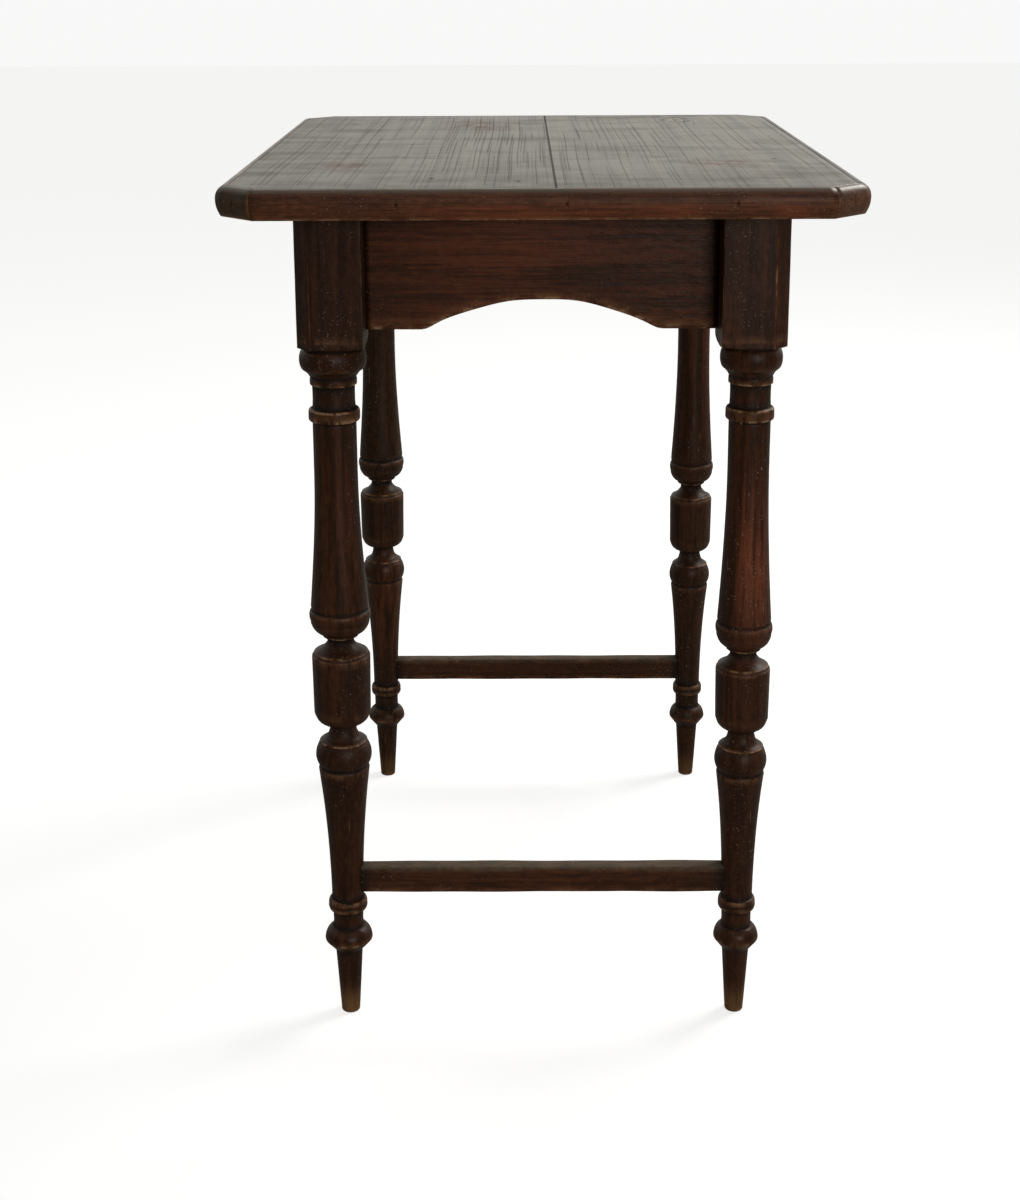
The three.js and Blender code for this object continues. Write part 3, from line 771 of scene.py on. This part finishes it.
def board_face(seed, low, high, clip_start, outer_x, joint_x, cracks):
    """The board's upper face as x, y and z, with how dark each place is, and how far the clipped
    corner cuts into each row."""
    columns = board_columns(low[0], high[0], cracks)
    x, y = np.meshgrid(columns, board_rows(low[1], high[1], clip_start))
    base = np.broadcast_to(columns, x.shape)
    sway = smoothstep(np.minimum(x - low[0], high[0] - x), 0, 14)
    x = x + grain_drift(x, y) * sway * smoothstep(np.minimum(y - low[1], high[1] - y), -30, 20)
    flat = np.stack([x, y, np.full_like(x, high[2])], -1)
    z = high[2] - np.maximum(0.1 + 0.1 * ripple(flat, 120, seed + 5), 0.01)
    clipped = np.maximum(np.abs(y) + clip_start, 0)
    dark = 0.7 * smoothstep(-np.abs(base - joint_x), -1.2, -0.5)
    for centre, start, end, width, depth in cracks:
        away = -np.abs(base - centre)
        fade = smoothstep(np.minimum(y - start, end - y), 0, 40) * smoothstep(-clipped, -8, 0)
        z = z - depth * fade * smoothstep(away, -width * 1.05, -width * 0.25)
        dark = np.maximum(dark, 0.5 * fade * smoothstep(away, -width * 1.5, -width * 0.5))
    dark = np.maximum(dark, dark_spots(x, y))
    # the columns near the outer edge close up where the corners are clipped
    pivot = outer_x * 0.72
    squeeze = (abs(outer_x - pivot) - clipped) / abs(outer_x - pivot)
    x = np.where((x - pivot) * np.sign(outer_x) > 0, pivot + (x - pivot) * squeeze, x)
    to_edge = np.minimum(np.abs(base - low[0]), np.abs(base - high[0]))
    z = z - 0.35 * (1 - smoothstep(to_edge, -0.2, 1.0))
    return x, y, z, dark, clipped


def board_walls(left_x, right_x, y, low_z, high_z):
    """The board's right wall, underside and left wall, as columns of points."""

    def column(x, z):
        return np.stack([x, y, np.full_like(y, z)], -1)

    levels = [high_z - 0.9, (high_z + low_z) / 2, low_z]
    right_wall = [column(right_x, level) for level in levels]
    shares = np.linspace(0, 1, 8)[1:-1]
    under = [column(right_x + (left_x - right_x) * share, low_z) for share in shares]
    left_wall = [column(left_x, level) for level in levels[::-1]]
    return [*right_wall, *under, *left_wall]


def board(side, seed):
    """One board of the top: worn face, cracks, clipped corners, and the grain that it shows."""
    node = "top_board_" + side
    low, high = box_mm(node)
    left = side == "left"
    outer_x, joint_x = (low[0], high[0]) if left else (high[0], low[0])
    clip_start = top_outline(LIPPING_WIDTH + JOINT_GAP)[2][1]
    cracks = board_cracks(seed, low[1], high[1], CRACKS[side])
    x, y, z, dark, clipped = board_face(seed, low, high, clip_start, outer_x, joint_x, cracks)
    # the two boards all but touch at their joint, so that no light comes through
    inner_x = np.full_like(clipped[:, :1], joint_x * 0.1)
    outer = outer_x - np.sign(outer_x) * clipped[:, :1]
    edges = (outer, inner_x) if left else (inner_x, outer)
    walls = board_walls(*edges, y[:, :1], low[2], high[2])
    rings = np.concatenate([np.stack([x, y, z], -1), *walls], 1)
    rub = np.zeros_like(x)
    for centre_x, centre_y, size_x, size_y in RUBBED:
        away = ((x - centre_x) / size_x) ** 2 + ((y - centre_y) / size_y) ** 2
        rub = np.maximum(rub, np.exp(-away))
    soiled = np.maximum(0.8 * smoothstep(-x, 20, 250), 0.9 * smoothstep(-y, 150, 318))
    soiled = np.maximum(soiled, smoothstep(-y, 305, 321))
    spare = [(0, 0), (0, rings.shape[1] - x.shape[1])]
    marks = {"wear": np.pad(rub, spare), "grime_and_shade": np.pad(dark, spare), "soiled": np.pad(soiled, spare)}
    shown = lofted("worn_" + node, rings, marks)
    grain = rings.copy()
    grain[:, :, 0] -= grain_drift(rings[:, :, 0], rings[:, :, 1])
    made = shown.data.attributes.new("grain", "FLOAT_VECTOR", "POINT")
    made.data.foreach_set("vector", (grain * MM).astype(np.float32).ravel())
    place(shown, node, "top_wood", board_wood(node + "_wood", seed))


# ---------------------------------------------------------------- materials


class Shader:
    """Builds the nodes of one material, or of the world, one by one."""

    def __init__(self, owner):
        owner.use_nodes = True
        self.owner = owner
        self.tree = owner.node_tree

    def feed(self, socket, value):
        if isinstance(value, bpy.types.NodeSocket):
            self.tree.links.new(value, socket)
        elif isinstance(value, tuple) and len(value) == 3 and socket.type == "RGBA":
            socket.default_value = (*value, 1)
        else:
            socket.default_value = value

    def node(self, kind, sockets, **settings):
        made = self.tree.nodes.new("ShaderNode" + kind)
        for key, value in settings.items():
            setattr(made, key, value)
        for key, value in sockets.items():
            self.feed(made.inputs[key], value)
        return made

    def place(self, scale, offset=(0, 0, 0), source=None):
        if source is None:
            source = self.node("TexCoord", {}).outputs["Object"]
        mapping = {"Vector": source, "Scale": scale, "Location": offset}
        return self.node("Mapping", mapping).outputs["Vector"]

    def noise(self, where, detail=3.0, rough=0.55):
        sockets = {"Vector": where, "Scale": 1.0, "Detail": detail, "Roughness": rough}
        return self.node("TexNoise", sockets).outputs["Fac"]

    def grained(self, axis, across, along, shift, **settings):
        """Noise drawn out along the grain."""
        return self.noise(self.place(grain_scale(axis, across, along), shift), **settings)

    def ramp(self, value, low, high, start=0.0, end=1.0):
        sockets = {"Value": value, "From Min": low, "From Max": high, "To Min": start, "To Max": end}
        return self.node("MapRange", sockets, interpolation_type="SMOOTHSTEP").outputs["Result"]

    def times(self, a, b):
        return self.math("MULTIPLY", a, b)

    def plus(self, a, b):
        return self.math("ADD", a, b)

    def math(self, operation, a, b=0.0):
        return self.node("Math", {0: a, 1: b}, operation=operation).outputs[0]

    def mix(self, share, a, b):
        mixed = self.node("Mix", {0: share}, data_type="RGBA")
        self.feed(mixed.inputs[6], a)
        self.feed(mixed.inputs[7], b)
        return mixed.outputs[2]

    def mark(self, name):
        return self.node("Attribute", {}, attribute_name=name).outputs["Fac"]

    def bump(self, height, depth, normal=None):
        sockets = {"Height": height, "Distance": depth, "Strength": 1.0}
        made = self.node("Bump", sockets)
        if normal is not None:
            self.feed(made.inputs["Normal"], normal)
        return made.outputs["Normal"]

    def finish(self, **sockets):
        """Feeds the surface, and gives the finished material."""
        surface = self.tree.nodes["Principled BSDF"]
        for key, value in sockets.items():
            self.feed(surface.inputs[key.replace("_", " ")], value)
        return self.owner


def new_material(name):
    """A Shader that builds a new material."""
    return Shader(bpy.data.materials.new(name))


def grain_scale(axis, across, along):
    """The scale of noise whose grain runs along an axis. On a clipped corner, "xy", the strip is
    so short that its grain is only drawn out sideways."""
    scales = {
        "x": (along, across, across),
        "y": (across, along, across),
        "z": (across, across, along),
        "xy": (across * 0.5, across * 0.5, across),
    }
    return scales[axis]


def stained_wood(name, axis, seed, tint):
    """Dark stained wood under thin old shellac: mottled, worn lighter on its arrises, black in its
    corners with dirt and painted shade, with fine pores, a few scratches along the grain and specks of
    old paint."""
    s = new_material(name)
    shift = (seed * 0.37, seed * 0.21, seed * 0.53)
    streaks = s.grained(axis, 150, 5, shift, detail=5.0, rough=0.65)
    mottle = s.grained(axis, 260, 110, shift, detail=6.0, rough=0.7)
    fibres = s.grained(axis, 900, 24, shift, detail=3.0, rough=0.65)
    clouds = s.grained(axis, 15, 8, shift, detail=5.0, rough=0.6)
    shade = s.plus(s.times(streaks, 0.55), s.times(mottle, 0.45))
    colour = s.mix(s.ramp(shade, 0.42, 0.6), tint["dark"], tint["mid"])
    colour = s.mix(s.ramp(clouds, 0.42, 0.66, 0.0, 0.6), colour, tint["dark"])
    # reddish patches: rubbed wood, and on the legs' fronts partly a painted highlight
    reddish = s.times(s.mark("rub"), s.ramp(streaks, 0.32, 0.56))
    colour = s.mix(s.times(reddish, 0.9), colour, REDDISH_WOOD)
    pores = s.ramp(fibres, 0.5, 0.36)
    colour = s.mix(s.times(pores, 0.5), colour, PORES)
    lines = s.grained(axis, 520, 7, (shift[2], shift[0], shift[1]), detail=1.0)
    scratches = s.times(s.ramp(lines, 0.73, 0.77), s.ramp(clouds, 0.45, 0.6))
    colour = s.mix(s.times(scratches, 0.4), colour, BARE_WOOD)
    patches = s.grained(axis, 130, 60, shift, detail=4.0, rough=0.65)
    rubbed = s.times(s.mark("wear"), s.ramp(patches, 0.36, 0.6))
    colour = s.mix(s.times(rubbed, 0.7), colour, RUBBED_WOOD)
    colour = s.mix(s.times(s.ramp(rubbed, 0.6, 1.0), 0.5), colour, BARE_WOOD)
    tip = s.times(s.mark("tip"), s.ramp(streaks, 0.3, 0.6, 0.35, 1.0))
    colour = s.mix(s.times(tip, 0.75), colour, GOLDEN_WOOD)
    # dirt, and painted shade in hollows, at joints and under the top
    colour = s.mix(s.times(s.mark("grime_and_shade"), 0.9), colour, GRIME_AND_SHADE)
    colour = s.mix(s.times(s.mark("dust"), s.ramp(mottle, 0.3, 0.6, 0.35, 0.8)), colour, DUST)
    colour = s.mix(s.times(s.mark("faded"), 0.9), colour, FADED_WOOD)
    flecks = s.noise(s.place((620, 620, 620), shift), detail=2.0)
    settled = s.math("MAXIMUM", s.ramp(clouds, 0.48, 0.6), s.mark("grime_and_shade"))
    flecks = s.times(s.ramp(flecks, 0.67, 0.71), settled)
    colour = s.mix(s.times(flecks, 0.45), colour, OLD_PAINT)
    rough = s.plus(s.ramp(clouds, 0.3, 0.7, 0.24, 0.4), s.times(s.mark("grime_and_shade"), 0.3))
    rough = s.plus(rough, s.times(mottle, 0.14))
    rough = s.plus(rough, s.times(s.mark("dust"), 0.3))
    shine = s.plus(0.13, s.times(s.mark("faded"), 0.27))
    normal = s.bump(fibres, 0.00012)
    normal = s.bump(s.grained(axis, 170, 80, shift, detail=4.0), 0.00035, normal)
    return s.finish(Base_Color=colour, Roughness=rough, Normal=normal, Specular_IOR_Level=shine)


def board_wood(name, seed):
    """Boards with the stain and polish worn thin: growth rings along the table, dark lines
    where the grain has opened, and dull patches where hands and work have been."""
    s = new_material(name)
    grain = s.node("Attribute", {}, attribute_name="grain").outputs["Vector"]
    shift = (seed * 0.31, seed * 0.17, 0)
    bands = s.noise(s.place((60, 0.9, 1), shift, grain), detail=6.0, rough=0.65)
    lines = s.noise(s.place((700, 2.2, 1), shift, grain), detail=3.0, rough=0.6)
    smears = s.noise(s.place((8, 21, 8), shift, grain), detail=9.0, rough=0.72)
    colour = s.mix(s.ramp(bands, 0.3, 0.7), BOARD_DARK, BOARD_PALE)
    soiled = s.ramp(s.plus(smears, s.times(s.mark("soiled"), 0.13)), 0.5, 0.68)
    colour = s.mix(s.times(soiled, 0.62), colour, BOARD_SOIL)
    dark = s.ramp(lines, 0.45, 0.34)
    colour = s.mix(s.times(dark, 0.45), colour, PORES)
    patches = s.noise(s.place((60, 40, 1), shift, grain), detail=5.0, rough=0.7)
    rubbed = s.times(s.mark("wear"), s.ramp(patches, 0.42, 0.56))
    colour = s.mix(s.times(rubbed, 0.7), colour, BOARD_RUBBED)
    colour = s.mix(s.mark("grime_and_shade"), colour, GRIME_AND_SHADE)
    rough = s.plus(s.ramp(smears, 0.4, 0.7, 0.36, 0.46), s.times(dark, 0.08))
    rough = s.plus(rough, s.times(s.mark("soiled"), 0.05))
    rough = s.plus(rough, s.times(s.mark("grime_and_shade"), 0.4))
    rough = s.plus(rough, s.times(rubbed, 0.15))
    normal = s.bump(lines, 0.00006)
    normal = s.bump(s.noise(s.place((35, 6, 35), shift, grain)), 0.0003, normal)
    shine = s.math("SUBTRACT", 0.5, s.times(s.mark("grime_and_shade"), 0.46))
    return s.finish(Base_Color=colour, Roughness=rough, Normal=normal, Specular_IOR_Level=shine)


def raw_wood(name, axis, seed):
    """Unfinished softwood, browned with age."""
    s = new_material(name)
    shift = (seed * 0.41, seed * 0.29, seed * 0.13)
    bands = s.grained(axis, 130, 6, shift, detail=4.0)
    fibres = s.grained(axis, 900, 30, shift, detail=2.0)
    clouds = s.noise(s.place((30, 30, 30), shift))
    colour = s.mix(s.ramp(bands, 0.3, 0.7), RAW_DARK, RAW_PALE)
    colour = s.mix(s.ramp(clouds, 0.5, 0.8, 0.0, 0.5), colour, RAW_STAIN)
    rough = s.ramp(fibres, 0.3, 0.7, 0.72, 0.9)
    return s.finish(Base_Color=colour, Roughness=rough, Normal=s.bump(fibres, 0.0003))


def dull_metal(name, bright, oxide, patch):
    """Old metal: a dull sheen with darker oxide on it in patches."""
    s = new_material(name)
    share = s.ramp(s.noise(s.place((patch, patch, patch)), detail=4.0), 0.4, 0.65)
    colour = s.mix(share, bright, oxide)
    rough = s.plus(s.times(share, 0.3), 0.38)
    return s.finish(Base_Color=colour, Roughness=rough, Normal=s.bump(share, 0.0001), Metallic=1.0)


# ---------------------------------------------------------------- carried-over CAD nodes


def keep_node(node, material, bevel):
    """A CAD node whose shape is right: it gets its material and eased edges."""
    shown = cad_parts[node]
    shown.data.materials.clear()
    shown.data.materials.append(material)
    weld = shown.modifiers.new("joined_corners", "WELD")
    weld.merge_threshold = 0.00002
    ease = shown.modifiers.new("eased_edges", "BEVEL")
    ease.width = bevel * MM
    ease.segments = 2
    ease.angle_limit = math.radians(40)
    ease.harden_normals = True


# ---------------------------------------------------------------- stage


def seen_or_felt(s, seen, felt):
    """One value for what the camera sees of the stage, and another for what lights the table."""
    ray = s.tree.nodes.new("ShaderNodeLightPath").outputs["Is Camera Ray"]
    return s.mix(ray, felt, seen)


def pale_floor():
    """The floor looks pale, but throws back no more light than a grey one."""
    s = new_material("pale_floor")
    colour = seen_or_felt(s, FLOOR_SEEN, FLOOR_FELT)
    glow = seen_or_felt(s, FLOOR_GLOW, (0.0, 0.0, 0.0))
    return s.finish(
        Base_Color=colour,
        Roughness=0.9,
        Specular_IOR_Level=0.0,
        Emission_Color=glow,
        Emission_Strength=1.0,
    )


def make_floor():
    corners = [(x * FLOOR_REACH, y * FLOOR_REACH, 0) for x, y in [(-1, -1), (1, -1), (1, 1), (-1, 1)]]
    mesh = bpy.data.meshes.new("floor")
    mesh.from_pydata(corners, [], [(0, 1, 2, 3)])
    mesh.materials.append(pale_floor())
    floor = bpy.data.objects.new("floor", mesh)
    bpy.context.scene.collection.objects.link(floor)


def make_world():
    """A pale room: dim in front of the table, bright behind it and overhead."""
    world = bpy.data.worlds.new("studio")
    bpy.context.scene.world = world
    s = Shader(world)
    direction = s.node("TexCoord", {}).outputs["Generated"]
    parts = s.node("SeparateXYZ", {"Vector": direction}).outputs
    behind = s.ramp(parts["Y"], -0.35, 0.75)
    overhead = s.ramp(parts["Z"], 0.15, 0.9)
    felt = s.mix(behind, ROOM_FRONT, ROOM_BACK)
    felt = s.mix(overhead, felt, ROOM_ABOVE)
    s.feed(world.node_tree.nodes["Background"].inputs["Color"], seen_or_felt(s, ROOM_SEEN, felt))


def area_light(name, place, aim, size, power, colour):
    """A soft rectangular light, turned towards what it lights."""
    data = bpy.data.lights.new(name, "AREA")
    data.shape = "RECTANGLE"
    data.size, data.size_y = size
    data.energy = power
    data.color = colour
    lamp = bpy.data.objects.new(name, data)
    lamp.location = place
    lamp.rotation_euler = (Vector(aim) - Vector(place)).to_track_quat("-Z", "Y").to_euler()
    bpy.context.scene.collection.objects.link(lamp)


def make_camera():
    """The view of the photograph. The shift is as large as leaves the table whole in a view from
    any side, so the camera tilts down by the rest."""
    data = bpy.data.cameras.new("camera")
    data.sensor_width = 36
    data.lens = CAMERA_LENS
    data.shift_y = CAMERA_SHIFT
    camera = bpy.data.objects.new("camera", data)
    camera.location = CAMERA_PLACE
    angles = (90 - CAMERA_TILT, CAMERA_ROLL, CAMERA_TURN)
    camera.rotation_euler = [math.radians(angle) for angle in angles]
    bpy.context.scene.collection.objects.link(camera)
    bpy.context.scene.camera = camera


# ---------------------------------------------------------------- everything


bpy.context.scene.view_settings.view_transform = "Standard"
make_camera()
make_world()
area_light("key", **KEY_LIGHT)
area_light("fill", **FILL_LIGHT)
make_floor()

# every piece has a seed of its own, and each kind of piece starts its own run of them
for seed, (name, facts) in enumerate(LEGS.items(), 1):
    turned_leg(name, facts, seed)
for seed, node in enumerate(APRONS, 11):
    apron(node, seed)
for seed, node in enumerate(STRETCHERS, 21):
    stretcher(node, seed)
for edge in range(len(EDGES)):
    lipping(edge, edge + 31)
for seed, side in enumerate(["left", "right"], 41):
    board(side, seed)

nail_iron = dull_metal("nail_iron_dark", **NAIL_IRON)
for node in sorted(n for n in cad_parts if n.startswith("nail_")):
    driven_nail(node, nail_iron)
for seed, node in enumerate(sorted(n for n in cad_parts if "_block_" in n), 61):
    keep_node(node, raw_wood(node + "_wood", "y", seed), BLOCK_BEVEL)
screw_steel = dull_metal("screw_steel_dull", **SCREW_STEEL)
for node in sorted(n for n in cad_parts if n.startswith("screw_")):
    keep_node(node, screw_steel, SCREW_BEVEL)
